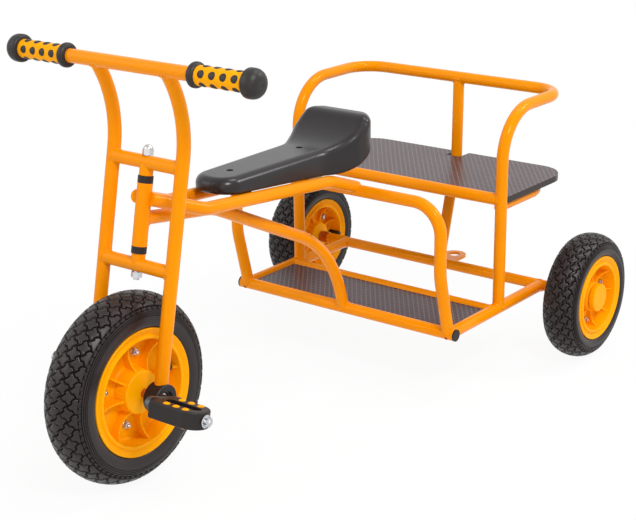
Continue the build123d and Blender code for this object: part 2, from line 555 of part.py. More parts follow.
# Cranks with their spindles, and the pedals that turn on them
for side, s, angle in (("left", 1, CRANK_ANGLE), ("right", -1, CRANK_ANGLE + 180)):
    ex, ez = CRANK_R * math.cos(math.radians(angle)), CRANK_R * math.sin(math.radians(angle))
    arm = SlotCenterToCenter(CRANK_R, CRANK_EYE)
    arm = Plane.XZ * Rot(0, 0, angle) * Pos(CRANK_R / 2, 0) * arm
    arm = extrude(arm, CRANK_T / 2, both=True)
    arm = Pos(0, s * (CRANK_Y + CRANK_T / 2), 0) * arm
    arm -= across(0, 0, 2 * CRANK_Y, AXLE + 2 * WELD)
    arm += straight((ex, s * (CRANK_Y - SPINDLE_HEEL), ez), (ex, s * (PEDAL_OUT + PEDAL_GAP), ez), SPINDLE)
    nut_out = extrude(RegularPolygon(SPINDLE_NUT / 2, 6, major_radius=False), SPINDLE_NUT_H)
    nut_out = along_y(s * (PEDAL_OUT + SEAT), ex, ez, s) * nut_out
    parts[f"crank_{side}"] = Pos(AXLE_C) * solid_of(arm + nut_out)
    # tread body: square at the boss, round at the outer end, with a long slot
    body = Pos(PEDAL_OUT - PEDAL_W / 2, 0) * Circle(PEDAL_W / 2)
    body += Pos((PEDAL_BODY + PEDAL_OUT - PEDAL_W / 2) / 2, 0) * Rectangle(PEDAL_L - PEDAL_W / 2, PEDAL_W)
    tread = extrude(body, PEDAL_H / 2, both=True)
    tread = fillet(tread.edges().filter_by(lambda e: abs(abs(e.center().Z) - PEDAL_H / 2) < 0.01), PEDAL_EDGE)
    slot = Pos((PEDAL_BODY + PEDAL_OUT) / 2, 0) * SlotOverall(PEDAL_L - 2 * PEDAL_SLOT_END, PEDAL_SLOT_W)
    boss = Plane.YZ.offset(PEDAL_IN) * extrude(Circle(PEDAL_BOSS_D / 2), PEDAL_BOSS_L + 1)
    bore = Plane.YZ.offset(PEDAL_IN - 1) * extrude(Circle(PEDAL_BORE / 2), PEDAL_OUT - PEDAL_IN + 2)
    pedal = tread - extrude(slot, PEDAL_H, both=True) + boss - bore
    # pedal frame: long side out along Y, tilted about the spindle
    tilt = math.radians(PEDAL_TILT)
    hold = Plane(origin=(ex, 0, ez), x_dir=(0, s, 0), z_dir=(-math.sin(tilt), 0, math.cos(tilt)))
    parts[f"pedal_{side}"] = Pos(AXLE_C) * solid_of(hold * pedal)

# Rear wheels on stub axles
rear_tyre, rear_rim = wheel(REAR_TYRE_R, REAR_TYRE_W, REAR_FLANGE_R, REAR_HUB_R, STUB / 2 + RUN,
                            REAR_HUB_OUT, REAR_HUB_HALF, REAR_FLOOR, REAR_RIBS, REAR_RIB_TURN)
for side, s in (("left", 1), ("right", -1)):
    c = Pos(REAR_X, s * HUB_Y, REAR_TYRE_R) * Rot(0, 0, 90 - s * 90)
    stub_at = along_y(s * (BEAM_HALF + WELD), REAR_X, DECK_Z, s)
    collar = extrude(Circle(COLLAR_D / 2), COLLAR_L - WELD)
    stub = extrude(Circle(STUB / 2), HUB_Y + REAR_HUB_OUT - BEAM_HALF + STUB_END)
    parts[f"rear_axle_{side}"] = stub_at * (collar + stub)
    parts[f"rear_tyre_{side}"] = c * rear_tyre
    parts[f"rear_rim_{side}"] = c * rear_rim
    cap = extrude(Circle(HUB_CAP_D / 2), HUB_CAP_T)
    cap = fillet(cap.edges().sort_by(Axis.Z)[-1], HUB_CAP_ROUND)
    cap -= extrude(Circle(STUB / 2 + STUB_END), HUB_CAP_T - HUB_CAP_ROUND)
    parts[f"hub_cap_{side}"] = c * along_y(REAR_HUB_OUT + WELD).location * cap

for name, shape in parts.items():
    export_step(shape, f"parts/{name}.step")
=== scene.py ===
import math

import bmesh
import bpy
from mathutils import Matrix, Vector


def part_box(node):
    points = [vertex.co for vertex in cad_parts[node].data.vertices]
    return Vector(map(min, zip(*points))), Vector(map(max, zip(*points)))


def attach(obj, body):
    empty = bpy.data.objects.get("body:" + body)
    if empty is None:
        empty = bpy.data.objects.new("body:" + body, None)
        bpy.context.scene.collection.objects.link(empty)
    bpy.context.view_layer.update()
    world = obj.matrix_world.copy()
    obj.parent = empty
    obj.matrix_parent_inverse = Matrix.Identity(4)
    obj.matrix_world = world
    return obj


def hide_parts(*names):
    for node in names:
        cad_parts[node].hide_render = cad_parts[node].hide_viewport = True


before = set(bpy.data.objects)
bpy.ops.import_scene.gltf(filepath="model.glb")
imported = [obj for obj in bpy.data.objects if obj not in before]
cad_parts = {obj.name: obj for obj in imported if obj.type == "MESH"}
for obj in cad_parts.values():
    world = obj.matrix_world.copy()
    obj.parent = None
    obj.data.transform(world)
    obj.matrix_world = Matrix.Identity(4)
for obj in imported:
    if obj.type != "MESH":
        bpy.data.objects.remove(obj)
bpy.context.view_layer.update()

# Tube frame and fork: bent steel tube, coped and welded, then powder coated in orange.
# The baked powder gives a glossy skin with a faint orange peel over the bends and welds.


def linear(code):
    """sRGB hex colour as linear RGBA."""
    channels = [int(code[i:i + 2], 16) / 255 for i in (1, 3, 5)]
    return [c / 12.92 if c < 0.04045 else ((c + 0.055) / 1.055) ** 2.4 for c in channels] + [1]


def node(mat, kind, inputs, **settings):
    """Adds a node: settings are its own, inputs are socket values or other nodes' outputs."""
    made = mat.node_tree.nodes.new("ShaderNode" + kind)
    for key, value in settings.items():
        setattr(made, key, value)
    for key, value in inputs.items():
        if isinstance(value, bpy.types.NodeSocket):
            mat.node_tree.links.new(value, made.inputs[key])
        else:
            made.inputs[key].default_value = value
    return made


def finish(name):
    """An empty node material."""
    mat = bpy.data.materials.new(name)
    mat.use_nodes = True
    mat.node_tree.nodes.clear()
    return mat


def dress(mat, *names):
    """Gives CAD nodes a material."""
    for name in names:
        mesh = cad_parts[name].data
        mesh.materials.clear()
        mesh.materials.append(mat)


# Polyester powder coat on steel: even orange, slightly deeper where it pooled, gloss with soft peel
powder_coat = finish("powder_coated_steel")
place = node(powder_coat, "TexCoord", {}).outputs["Object"]
# pooling over about 60 mm, peel cells of 2.5 mm (real ones are about 1 mm)
pool = node(powder_coat, "TexNoise", {"Vector": place, "Scale": 1 / 0.06, "Detail": 2.0})
tint = node(powder_coat, "Mix", {
    "Factor": pool.outputs[0], "A": linear("#F28B00"), "B": linear("#F89704")}, data_type="RGBA")
peel = node(powder_coat, "TexNoise", {"Vector": place, "Scale": 1 / 0.0025, "Detail": 1.0})
skin = node(powder_coat, "Bump", {"Height": peel.outputs[0], "Strength": 0.06, "Distance": 0.0004})
gloss = node(powder_coat, "MapRange", {"Value": pool.outputs[0], "To Min": 0.12, "To Max": 0.2})
coat = node(powder_coat, "BsdfPrincipled", {
    "Base Color": tint.outputs["Result"], "Roughness": gloss.outputs[0], "Normal": skin.outputs[0],
    "Specular IOR Level": 0.22, "Specular Tint": linear("#FFD890")})
node(powder_coat, "OutputMaterial", {"Surface": coat.outputs[0]})
dress(powder_coat, "deck_front_rail", "rear_axle_beam", "deck_side_rail_left", "deck_side_rail_right",
      "deck_rear_bar", "front_hoop", "back_hoop", "centre_post", "bench_front_rail", "bench_support_loop",
      "tow_plate", "head_tube", "main_tube", "saddle_rail_left", "saddle_rail_right", "saddle_plates",
      "handlebar", "fork_blade_left", "fork_blade_right", "upper_crossbar", "lower_crossbar")

# Weld beads: a run of weld metal round the end of each coped tube, under the same paint.
# Each is a thin ring bent to the tube that it sits on, with the ripple of the weld pool.
TUBE_R = 0.01125
BEAM_R = 0.01075
HEAD_R = 0.0125
BAR_R = 0.0115
RAKE = Vector((-0.196802, 0, 0.980444))
AXLE = Vector((0.4415, 0, 0.160))
DECK_FRONT_X = -0.147
DECK_REAR_X = -0.295
DECK_Z = 0.122
REAR_X = -0.4795
RAIL_Y = 0.240
POST_X = -0.317
HOOP_Y = 0.237
BLADE_Y = 0.0745
ALONG_X, ALONG_Y, UP = (1, 0, 0), (0, 1, 0), (0, 0, 1)
# body, point on the main tube's axis, main tube's direction and radius, branch tube's direction
welds = [
    ("frame", (DECK_FRONT_X, 0, DECK_Z), ALONG_Y, TUBE_R, (0.2956, 0, 0.9553)),  # main tube
    ("frame", (REAR_X, 0, DECK_Z), ALONG_Y, BEAM_R, (-0.269, 0, 0.963)),  # centre post's foot
    ("frame", (-0.542, 0, 0.501), ALONG_Y, TUBE_R, (0.018, 0, -0.9998)),  # centre post's top
    ("frame", AXLE + RAKE * 0.2765, RAKE, HEAD_R, (-0.9907, 0, -0.1369)),  # main tube's top
]
for side in (1, -1):
    inward, blade = (0, -side, 0), Vector((0, side * BLADE_Y, 0))
    welds += [
        ("frame", (DECK_FRONT_X, side * RAIL_Y, DECK_Z), ALONG_Y, TUBE_R, (-1, 0, 0)),  # side rail's front
        ("frame", (REAR_X, side * RAIL_Y, DECK_Z), ALONG_Y, BEAM_R, ALONG_X),  # side rail's back
        ("frame", (DECK_REAR_X, side * RAIL_Y, DECK_Z), ALONG_X, TUBE_R, inward),  # rear bar
        ("frame", (DECK_FRONT_X, side * HOOP_Y, DECK_Z), ALONG_Y, TUBE_R, (0.2464, 0, 0.9692)),  # hoop's foot
        ("frame", (POST_X, side * RAIL_Y, DECK_Z), ALONG_X, TUBE_R, UP),  # back hoop's foot
        ("frame", (POST_X, side * RAIL_Y, 0.335), UP, TUBE_R, inward),  # bench's front rail
        ("fork", AXLE + RAKE * 0.367 + blade, RAKE, TUBE_R, inward),  # upper cross bar
        ("fork", AXLE + RAKE * 0.202 + blade, RAKE, TUBE_R, inward),  # lower cross bar
        ("fork", (0.3978, side * BLADE_Y, 0.6795), ALONG_Y, BAR_R, (-0.5768, 0, -0.8167)),  # blade's top
    ]


def piece(name, bm, mat, body, sharp=35):
    """A finished piece: smooth but for its sharp edges, riding on its body."""
    mesh = bpy.data.meshes.new(name)
    bm.to_mesh(mesh)
    bm.free()
    mesh.materials.append(mat)
    mesh.shade_smooth()
    mesh.set_sharp_from_angle(angle=math.radians(sharp))
    made = bpy.data.objects.new(name, mesh)
    bpy.context.scene.collection.objects.link(made)
    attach(made, body)
    return made


def once(items):
    """Each item once, in a fixed order, so that every run makes the same mesh."""
    return list(dict.fromkeys(items))


BEAD_R = 0.0021
RIPPLES = 22
RIPPLE = 0.13
for body in ("frame", "fork"):
    bm = bmesh.new()
    for at, along, main_r, out in [w[1:] for w in welds if w[0] == body]:
        out, along = Vector(out), Vector(along)
        across = along.cross(out).normalized()
        along = out.cross(across).normalized()
        section = bmesh.ops.create_circle(bm, segments=8, radius=BEAD_R)["verts"]
        turn = Matrix.Translation((TUBE_R, 0, 0)) @ Matrix.Rotation(math.pi / 2, 4, "X")
        bmesh.ops.transform(bm, matrix=turn, verts=section)
        edges = once(e for v in section for e in v.link_edges)
        before = set(bm.verts) - set(section)
        bmesh.ops.spin(bm, geom=section + edges, cent=(0, 0, 0), axis=(0, 0, 1), angle=2 * math.pi,
                       steps=64, use_merge=True)
        ring = [v for v in bm.verts if v not in before]
        for v in ring:
            round_tube = math.atan2(v.co.y, v.co.x)
            swell = 1 + RIPPLE * math.cos(RIPPLES * round_tube)
            core = Vector((math.cos(round_tube), math.sin(round_tube), 0)) * TUBE_R
            v.co = core + (v.co - core) * swell
            # bent to the main tube, and no further round it than just short of its side
            v.co.z += math.sqrt(max(main_r ** 2 - min(abs(v.co.y), main_r * 0.97) ** 2, 0))
        basis = Matrix((along, across, out)).transposed().to_4x4()
        bmesh.ops.transform(bm, matrix=Matrix.Translation(at) @ basis, verts=ring)
    bmesh.ops.remove_doubles(bm, verts=bm.verts, dist=0.00005)
    bmesh.ops.recalc_face_normals(bm, faces=bm.faces)
    piece(f"weld_beads_{body}", bm, powder_coat, body, 60)

# Rail plugs, bushes, bearing housings and pedals: injection-moulded black polypropylene.
# The tool's spark-eroded grain leaves a fine dry texture that softens the highlights.
black_moulding = finish("moulded_black_polypropylene")
place = node(black_moulding, "TexCoord", {}).outputs["Object"]
# grain cells of 1.2 mm (real ones are about 0.3 mm), handling marks over 40 mm
grain = node(black_moulding, "TexNoise", {"Vector": place, "Scale": 1 / 0.0012, "Detail": 2.0})
marks = node(black_moulding, "TexNoise", {"Vector": place, "Scale": 1 / 0.04, "Detail": 4.0})
tone = node(black_moulding, "Mix", {
    "Factor": marks.outputs[0], "A": linear("#1A1515"), "B": linear("#241E1D")}, data_type="RGBA")
dry = node(black_moulding, "MapRange", {"Value": marks.outputs[0], "To Min": 0.38, "To Max": 0.5})
texture = node(black_moulding, "Bump", {"Height": grain.outputs[0], "Strength": 0.12, "Distance": 0.0003})
plastic = node(black_moulding, "BsdfPrincipled", {
    "Base Color": tone.outputs["Result"], "Roughness": dry.outputs[0], "Normal": texture.outputs[0],
    "Specular IOR Level": 0.32})
node(black_moulding, "OutputMaterial", {"Surface": plastic.outputs[0]})
dress(black_moulding, "rail_plugs", "steering_bushes", "bearing_housings", "pedal_left", "pedal_right")


def spun(bm, profile, at, out, steps=24):
    """Turns a profile of (radius, height) points about the line from at towards out."""
    before = set(bm.verts)
    points = [bm.verts.new((r, 0, h)) for r, h in profile]
    lines = [bm.edges.new(pair) for pair in zip(points, points[1:])]
    if profile[0][0] > 0:
        lines.append(bm.edges.new((points[-1], points[0])))
    bmesh.ops.spin(bm, geom=points + lines, cent=(0, 0, 0), axis=(0, 0, 1), angle=2 * math.pi, steps=steps,
                   use_merge=True)
    made = [v for v in bm.verts if v not in before]
    bmesh.ops.remove_doubles(bm, verts=made, dist=0.000001)
    made = [v for v in bm.verts if v not in before]
    turn = Vector(out).to_track_quat("Z", "Y").to_matrix().to_4x4()
    bmesh.ops.transform(bm, matrix=Matrix.Translation(at) @ turn, verts=made)
    bmesh.ops.recalc_face_normals(bm, faces=once(f for v in made for f in v.link_faces))
    return made


# Hole in the front rail under each leg of the hoop: drilled with a raised burr, and the paint runs over the
# burr.
# A black domed disc of the same polypropylene sits in each hole as painted shade for the hole's open inside.
HOLE_LEAN = math.radians(-29)
HOLE_Y = 0.2387
HOLE_OUT = Vector((math.cos(HOLE_LEAN), 0, math.sin(HOLE_LEAN)))
hole_shade_discs, burrs = bmesh.new(), bmesh.new()
for side in (1, -1):
    at = Vector((DECK_FRONT_X, side * HOLE_Y, DECK_Z)) + HOLE_OUT * TUBE_R
    # black domed disc: painted shade for the inside of the hole
    spun(hole_shade_discs, [(0, 0.0004), (0.0019, 0.0002), (0.0026, -0.0003), (0.0030, -0.0016), (0, -0.0016)],
         at, HOLE_OUT)
    spun(burrs, [(0.0028, -0.0020), (0.0029, 0.0005), (0.0035, 0.0009), (0.0043, 0.0004), (0.0049, -0.0020)],
         at, HOLE_OUT)
piece("front_rail_hole_shade_discs", hole_shade_discs, black_moulding, "frame")
piece("front_rail_hole_burrs", burrs, powder_coat, "frame")

# Saddle: one hollow polypropylene moulding with a satin skin, held by two bolts sunk in its top.
# The polished tool leaves it smoother than the other black pieces, so its rolled edges shine.
saddle_skin = finish("satin_black_saddle_polypropylene")
place = node(saddle_skin, "TexCoord", {}).outputs["Object"]
# scuffs over 25 mm, grain cells of 1 mm
scuffs = node(saddle_skin, "TexNoise", {"Vector": place, "Scale": 1 / 0.025, "Detail": 5.0})
cells = node(saddle_skin, "TexNoise", {"Vector": place, "Scale": 1 / 0.001, "Detail": 1.0})
shade = node(saddle_skin, "Mix", {
    "Factor": scuffs.outputs[0], "A": linear("#161214"), "B": linear("#1E191B")}, data_type="RGBA")
polish = node(saddle_skin, "MapRange", {"Value": scuffs.outputs[0], "To Min": 0.23, "To Max": 0.29})
fine_grain = node(saddle_skin, "Bump", {"Height": cells.outputs[0], "Strength": 0.05, "Distance": 0.0002})
satin_black = node(saddle_skin, "BsdfPrincipled", {
    "Base Color": shade.outputs["Result"], "Roughness": polish.outputs[0], "Normal": fine_grain.outputs[0],
    "Specular IOR Level": 0.42})
node(saddle_skin, "OutputMaterial", {"Surface": satin_black.outputs[0]})
dress(saddle_skin, "saddle")
BOLT_X = (0.172, -0.017)
BOLT_Z = 0.459
bolts = bmesh.new()
for x in BOLT_X:
    # socket, head and shank in the recess
    spun(bolts, [(0, 0.0006), (0.0023, 0.0006), (0.0024, 0.0025), (0.0040, 0.0025), (0.0047, 0.0018),
                 (0.0047, -0.0010), (0, -0.0010)], (x, 0, BOLT_Z), UP)
piece("saddle_bolts", bolts, black_moulding, "frame")

# Step and bench boards: birch plywood with a dark brown film pressed on both faces.
# The wire mesh of the press leaves an anti-slip grid, and the sawn edges are sealed with dark paint.
film_ply = finish("film_faced_birch_plywood")
coords = node(film_ply, "TexCoord", {})
place = coords.outputs["Object"]
# mesh wires 9 mm apart, at 36.4 degrees each way from the tricycle's length
WIRE = 0.009
WIRE_TURN = math.radians(90 - 36.4)
grid = []
for turn in (WIRE_TURN, -WIRE_TURN):
    turned = node(film_ply, "Mapping", {"Vector": place, "Rotation": (0, 0, turn)})
    grid.append(node(film_ply, "TexWave", {"Vector": turned.outputs[0], "Scale": math.pi / (10 * WIRE)}))
mesh_print = node(film_ply, "Math", {0: grid[0].outputs["Fac"], 1: grid[1].outputs["Fac"]},
                  operation="MAXIMUM")
cloud = node(film_ply, "TexNoise", {"Vector": place, "Scale": 1 / 0.05, "Detail": 5.0})
film = node(film_ply, "Mix", {
    "Factor": cloud.outputs[0], "A": linear("#2C1F21"), "B": linear("#382A2D")}, data_type="RGBA")
wires = node(film_ply, "MapRange", {"Value": mesh_print.outputs[0], "From Min": 0.78, "To Max": 0.75})
printed = node(film_ply, "Mix", {"Factor": wires.outputs[0], "A": film.outputs["Result"],
                                 "B": linear("#78656A")}, data_type="RGBA")
# veneers of 1.4 mm show as bands through the sealed edge, a light and a dark one in turn
VENEER = 0.0014
layers = node(film_ply, "TexWave", {"Vector": place, "Scale": math.pi / (20 * VENEER), "Distortion": 0.4},
              bands_direction="Z")
edge = node(film_ply, "Mix", {
    "Factor": layers.outputs["Fac"], "A": linear("#1F1715"), "B": linear("#30241F")}, data_type="RGBA")
facing = node(film_ply, "SeparateXYZ", {0: coords.outputs["Normal"]})
flat = node(film_ply, "Math", {0: facing.outputs["Z"]}, operation="ABSOLUTE")
is_face = node(film_ply, "Math", {0: flat.outputs[0], 1: 0.7}, operation="GREATER_THAN")
board_colour = node(film_ply, "Mix", {"Factor": is_face.outputs[0], "A": edge.outputs["Result"],
                                      "B": printed.outputs["Result"]}, data_type="RGBA")
press = node(film_ply, "Bump", {"Height": wires.outputs[0], "Strength": 0.35, "Distance": 0.0005})
board = node(film_ply, "BsdfPrincipled", {
    "Base Color": board_colour.outputs["Result"], "Roughness": 0.32, "Normal": press.outputs[0],
    "Specular IOR Level": 0.25})
node(film_ply, "OutputMaterial", {"Surface": board.outputs[0]})
dress(film_ply, "step_board", "bench_board")

# Steering bolt, bearings and fixings: bright zinc-plated steel, rolled and turned.
# The thin plating reflects softly, with a faint mottle.
zinc = finish("bright_zinc_plated_steel")
place = node(zinc, "TexCoord", {}).outputs["Object"]
# plating mottle of 4 mm
mottle = node(zinc, "TexNoise", {"Vector": place, "Scale": 1 / 0.004, "Detail": 3.0})
sheen = node(zinc, "MapRange", {"Value": mottle.outputs[0], "To Min": 0.2, "To Max": 0.38})
plate = node(zinc, "Mix", {
    "Factor": mottle.outputs[0], "A": linear("#B9BBBE"), "B": linear("#DADBDD")}, data_type="RGBA")
metal = node(zinc, "BsdfPrincipled", {
    "Base Color": plate.outputs["Result"], "Metallic": 1.0, "Roughness": sheen.outputs[0]})
node(zinc, "OutputMaterial", {"Surface": metal.outputs[0]})
dress(zinc, "steering_bolt", "fork_bearings")

# Bearing shields: a black rubber ring pressed between the races of each fork bearing.
# It is flat with a rolled inner lip that runs on the inner race.
SHIELD_Y = 0.0805
shields = bmesh.new()
for side in (1, -1):
    spun(shields, [(0.0098, -0.0006), (0.0098, 0.0007), (0.0106, 0.0010), (0.0112, 0.0004), (0.0128, 0.0003),
                   (0.0133, -0.0006)], AXLE + Vector((0, side * SHIELD_Y, 0)), (0, side, 0), 48)
piece("bearing_shields", shields, black_moulding, "fork")

# Front axle and rear stub axles: turned steel with a yellow-brown passivate.
# The passivate film is uneven, so the copper tone drifts along the bar.
passivated = finish("yellow_passivated_steel")
place = node(passivated, "TexCoord", {}).outputs["Object"]
# drifts of 12 mm
drift = node(passivated, "TexNoise", {"Vector": place, "Scale": 1 / 0.012, "Detail": 3.0})
copper = node(passivated, "Mix", {
    "Factor": drift.outputs[0], "A": linear("#A8643E"), "B": linear("#CF9363")}, data_type="RGBA")
satin = node(passivated, "MapRange", {"Value": drift.outputs[0], "To Min": 0.28, "To Max": 0.42})
bar = node(passivated, "BsdfPrincipled", {
    "Base Color": copper.outputs["Result"], "Metallic": 1.0, "Roughness": satin.outputs[0]})
node(passivated, "OutputMaterial", {"Surface": bar.outputs[0]})
dress(passivated, "rear_axle_left", "rear_axle_right", "front_axle")

# Cranks: forged steel with a dark phosphate finish, pressed on the axle.
# The phosphate leaves a dull grey with lighter rubbed patches.
phosphate = finish("phosphated_forged_steel")
place = node(phosphate, "TexCoord", {}).outputs["Object"]
# rubbed patches of 8 mm
rubbed = node(phosphate, "TexNoise", {"Vector": place, "Scale": 1 / 0.008, "Detail": 4.0})
grey = node(phosphate, "Mix", {
    "Factor": rubbed.outputs[0], "A": linear("#43474B"), "B": linear("#7A8085")}, data_type="RGBA")
forged = node(phosphate, "BsdfPrincipled", {
    "Base Color": grey.outputs["Result"], "Metallic": 0.9, "Roughness": 0.4})
node(phosphate, "OutputMaterial", {"Surface": forged.outputs[0]})
dress(phosphate, "crank_left", "crank_right")

# Rims, hub caps and grip sleeves: orange polypropylene, moulded with ribs and pockets.
# Light bounces between the pocket walls and glows through the skin, so they look deeper than the lip.
orange_moulding = finish("moulded_orange_polypropylene")
place = node(orange_moulding, "TexCoord", {}).outputs["Object"]
# flow marks over 30 mm, fine grain of 1.5 mm
flow = node(orange_moulding, "TexNoise", {"Vector": place, "Scale": 1 / 0.03, "Detail": 3.0})
fine = node(orange_moulding, "TexNoise", {"Vector": place, "Scale": 1 / 0.0015, "Detail": 1.0})
hue = node(orange_moulding, "Mix", {
    "Factor": flow.outputs[0], "A": linear("#FFA600"), "B": linear("#FFAE04")}, data_type="RGBA")
soft = node(orange_moulding, "Bump", {"Height": fine.outputs[0], "Strength": 0.05, "Distance": 0.0003})
moulded = node(orange_moulding, "BsdfPrincipled", {
    "Base Color": hue.outputs["Result"], "Roughness": 0.36, "Normal": soft.outputs[0],
    "Specular IOR Level": 0.06})
node(orange_moulding, "OutputMaterial", {"Surface": moulded.outputs[0]})
dress(orange_moulding, "front_rim", "rear_rim_left", "rear_rim_right", "hub_cap_left", "hub_cap_right",
      "grip_sleeves")

# Grips: black soft PVC flange and mushroom cap on each end of the bar, and round pads set in the sleeve.
# The pads stand a little proud, five rows of four, and each cap has a small vent hole in its end.
soft_pvc = finish("soft_black_pvc")
place = node(soft_pvc, "TexCoord", {}).outputs["Object"]
# dust film over 15 mm, speckle of 1.2 mm
dust = node(soft_pvc, "TexNoise", {"Vector": place, "Scale": 1 / 0.015, "Detail": 4.0})
speckle = node(soft_pvc, "TexNoise", {"Vector": place, "Scale": 1 / 0.0012, "Detail": 2.0})
matt_black = node(soft_pvc, "Mix", {
    "Factor": dust.outputs[0], "A": linear("#221E1E"), "B": linear("#2E2929")}, data_type="RGBA")
rubbed_in = node(soft_pvc, "Bump", {"Height": speckle.outputs[0], "Strength": 0.2, "Distance": 0.0004})
pvc = node(soft_pvc, "BsdfPrincipled", {
    "Base Color": matt_black.outputs["Result"], "Roughness": 0.42, "Normal": rubbed_in.outputs[0],
    "Specular IOR Level": 0.32})
node(soft_pvc, "OutputMaterial", {"Surface": pvc.outputs[0]})
dress(soft_pvc, "grip_ends")
BAR = sum(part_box("grip_sleeves"), Vector()) / 2
SLEEVE_R = (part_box("grip_sleeves")[1].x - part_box("grip_sleeves")[0].x) / 2
CAP_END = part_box("grip_ends")[1].y
PAD_R = 0.00685
PAD_PITCH = 0.0215
PAD_ROWS = 5
PADS_IN_ROW = 4
GRIP_Y = 0.190
pads, vents = bmesh.new(), bmesh.new()
# side, turn of the first row above the level
for side, first in ((1, 23), (-1, 9)):
    for row in range(PAD_ROWS):
        for column in range(PADS_IN_ROW):
            pad = spun(pads, [(0, 0.0010), (PAD_R * 0.5, 0.0009), (PAD_R * 0.8, 0.0006),
                              (PAD_R * 0.95, 0.0001), (PAD_R, -0.0008), (0, -0.0008)], (0, 0, 0), UP, 28)
            # wrapped on the sleeve: x along the bar, y round it
            for v in pad:
                around = math.radians(first + 360 / PAD_ROWS * row) + v.co.y / SLEEVE_R
                reach = SLEEVE_R + v.co.z
                along = side * (GRIP_Y + PAD_PITCH * (column - (PADS_IN_ROW - 1) / 2)) + v.co.x
                v.co = BAR + Vector((reach * math.cos(around), along, reach * math.sin(around)))
    spun(vents, [(0, -0.0002), (0.0017, -0.0002), (0.0020, 0.0004), (0.0030, 0.0004), (0.0038, -0.0004),
                 (0, -0.0004)], BAR + Vector((0, side * CAP_END, 0)), (0, side, 0))
piece("grip_pads", pads, soft_pvc, "fork")
piece("grip_cap_vents", vents, soft_pvc, "fork")

# Rim bolts: the two halves of each rim are clamped by hex bolts, nuts and washers in its pockets.
# Nuts and threaded ends show on the left of the front wheel and on the outside of the rear ones.


def hexagon(bm, flats, height, at, out):
    """Hexagon nut or head with eased edges, standing on a point."""
    turn = Vector(out).to_track_quat("Z", "Y").to_matrix().to_4x4()
    put = Matrix.Translation(at) @ turn @ Matrix.Translation((0, 0, height / 2))
    across = flats / math.sqrt(3)
    verts = bmesh.ops.create_cone(bm, cap_ends=True, segments=6, radius1=across, radius2=across, depth=height,
                                  matrix=put)["verts"]
    bmesh.ops.bevel(bm, geom=once(e for v in verts for e in v.link_edges), offset=0.0006, segments=2,
                    profile=0.5, affect="EDGES", material=-1)


REAR_LEFT_HUB = Vector((REAR_X, 0.337, 0.122))
REAR_RIGHT_HUB = Vector((REAR_X, -0.337, 0.122))
# name, body, hub, side of the nuts, bolts, first angle, distance from the hub, pocket floor
rim_bolts = [
    ("front", "front_wheel", AXLE, 1, 4, 13, 0.061, 0.007),
    ("rear_left", "left_rear_wheel", REAR_LEFT_HUB, 1, 3, 41, 0.048, 0.005),
    ("rear_right", "right_rear_wheel", REAR_RIGHT_HUB, -1, 3, 139, 0.048, 0.005),
]
for name, body, hub, nut_side, count, first, reach, pocket in rim_bolts:
    bm = bmesh.new()
    for n in range(count):
        a = math.radians(first + n * 360 / count)
        for side in (1, -1):
            out = Vector((0, side, 0))
            at = hub + Vector((reach * math.cos(a), side * pocket, reach * math.sin(a)))
            spun(bm, [(0, -0.0004), (0.0062, -0.0004), (0.0064, 0.0008), (0.0060, 0.0012), (0, 0.0012)],
                 at, out)
            hexagon(bm, 0.010, 0.005, at + out * 0.0012, out)
            if side == nut_side:
                spun(bm, [(0, 0.0060), (0.0029, 0.0060), (0.0029, 0.0095), (0.0023, 0.0102), (0, 0.0102)],
                     at, out, 20)
    piece(f"rim_bolts_{name}", bm, zinc, body)

# Valves: black rubber stem with a screw cap, on the left of the front rim and inside each rear rim.
# The stem comes through the rim's barrel and leans out to the side, so that a pump can reach it.
# name, body, hub, side, angle, distance from the hub, distance from the middle plane, lean towards the hub
valves = [
    ("front", "front_wheel", AXLE, 1, 166, 0.088, 0.013, 40),
    ("rear_left", "left_rear_wheel", REAR_LEFT_HUB, -1, 188, 0.0635, 0.010, 8),
    ("rear_right", "right_rear_wheel", REAR_RIGHT_HUB, 1, 188, 0.0635, 0.010, 8),
]
for name, body, hub, side, angle, reach, off, lean in valves:
    a, tilt = math.radians(angle), math.radians(lean)
    radial = Vector((math.cos(a), 0, math.sin(a)))
    out = radial * -math.sin(tilt) + Vector((0, side * math.cos(tilt), 0))
    bm = bmesh.new()
    spun(bm, [(0, -0.006), (0.0056, -0.006), (0.0054, 0.001), (0.0042, 0.004), (0.0037, 0.013),
              (0.0037, 0.0145), (0.0045, 0.0148), (0.0045, 0.0232), (0.0040, 0.0246), (0, 0.0248)],
         hub + radial * reach + Vector((0, side * off, 0)), out)
    piece(f"valve_{name}", bm, soft_pvc, body)

# Pedals: orange grip studs set in the two treads of each pedal, above and below.
# A flanged lock nut with a domed end holds each pedal on its spindle.
PEDAL_TILT = math.radians(12)
CRANK_ANGLE = math.radians(20)
CRANK_LENGTH = 0.060
CRANK = Vector((math.cos(CRANK_ANGLE), 0, math.sin(CRANK_ANGLE))) * CRANK_LENGTH
TREAD_UP = 0.014
TREAD_OUT = 0.0175
STUD_Y = (0.157, 0.176, 0.195)
LOCK_NUT_Y = 0.2224
